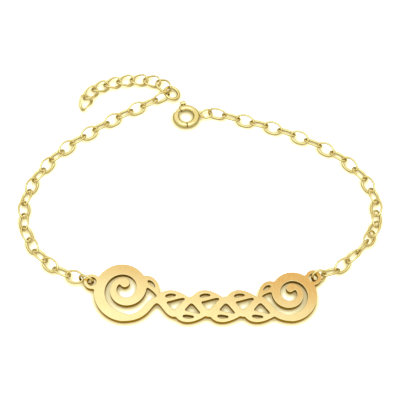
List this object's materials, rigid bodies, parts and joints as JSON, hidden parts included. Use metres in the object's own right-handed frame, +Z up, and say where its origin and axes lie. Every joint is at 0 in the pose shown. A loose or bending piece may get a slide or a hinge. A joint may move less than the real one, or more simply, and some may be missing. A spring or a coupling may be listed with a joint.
{
  "type": "nameplate bracelet",
  "caption": "Pierced scroll plate on an oval link chain, with a spring ring clasp and a short extender chain, lying unfastened.",
  "frame": {"origin": "on the surface that the bracelet lies on, under the middle of its box", "axes": "+X along the plate to the right as it is seen, +Y from the plate towards the clasp, +Z up out of the surface"},
  "size_m": [0.0661, 0.0525, 0.0029],
  "materials": {
    "plate_gold": "polished flat face with softly rounded edges, gold-coloured",
    "chain_gold": "bright polished wire, gold-coloured",
    "clasp_gold": "bright polished tube, gold-coloured"
  },
  "bodies": {
    "bracelet": {"nameplate": "plate_gold", "plate_ring_left": "chain_gold", "plate_ring_right": "chain_gold", "chain_left": "chain_gold", "chain_right": "chain_gold", "clasp_body": "clasp_gold", "extender_ring": "chain_gold", "extender_chain": "chain_gold"},
    "trigger": {"clasp_trigger": "clasp_gold"}
  },
  "joints": [
    {"name": "trigger", "type": "hinge", "parent": "bracelet", "child": "trigger", "pos_m": [-0.0026, 0.0167, 0.00057], "axis": [0, 0, -1], "range_deg": [0, 46], "stiffness_Nm_per_rad": 0.001, "springref_deg": -22.92}
  ]
}
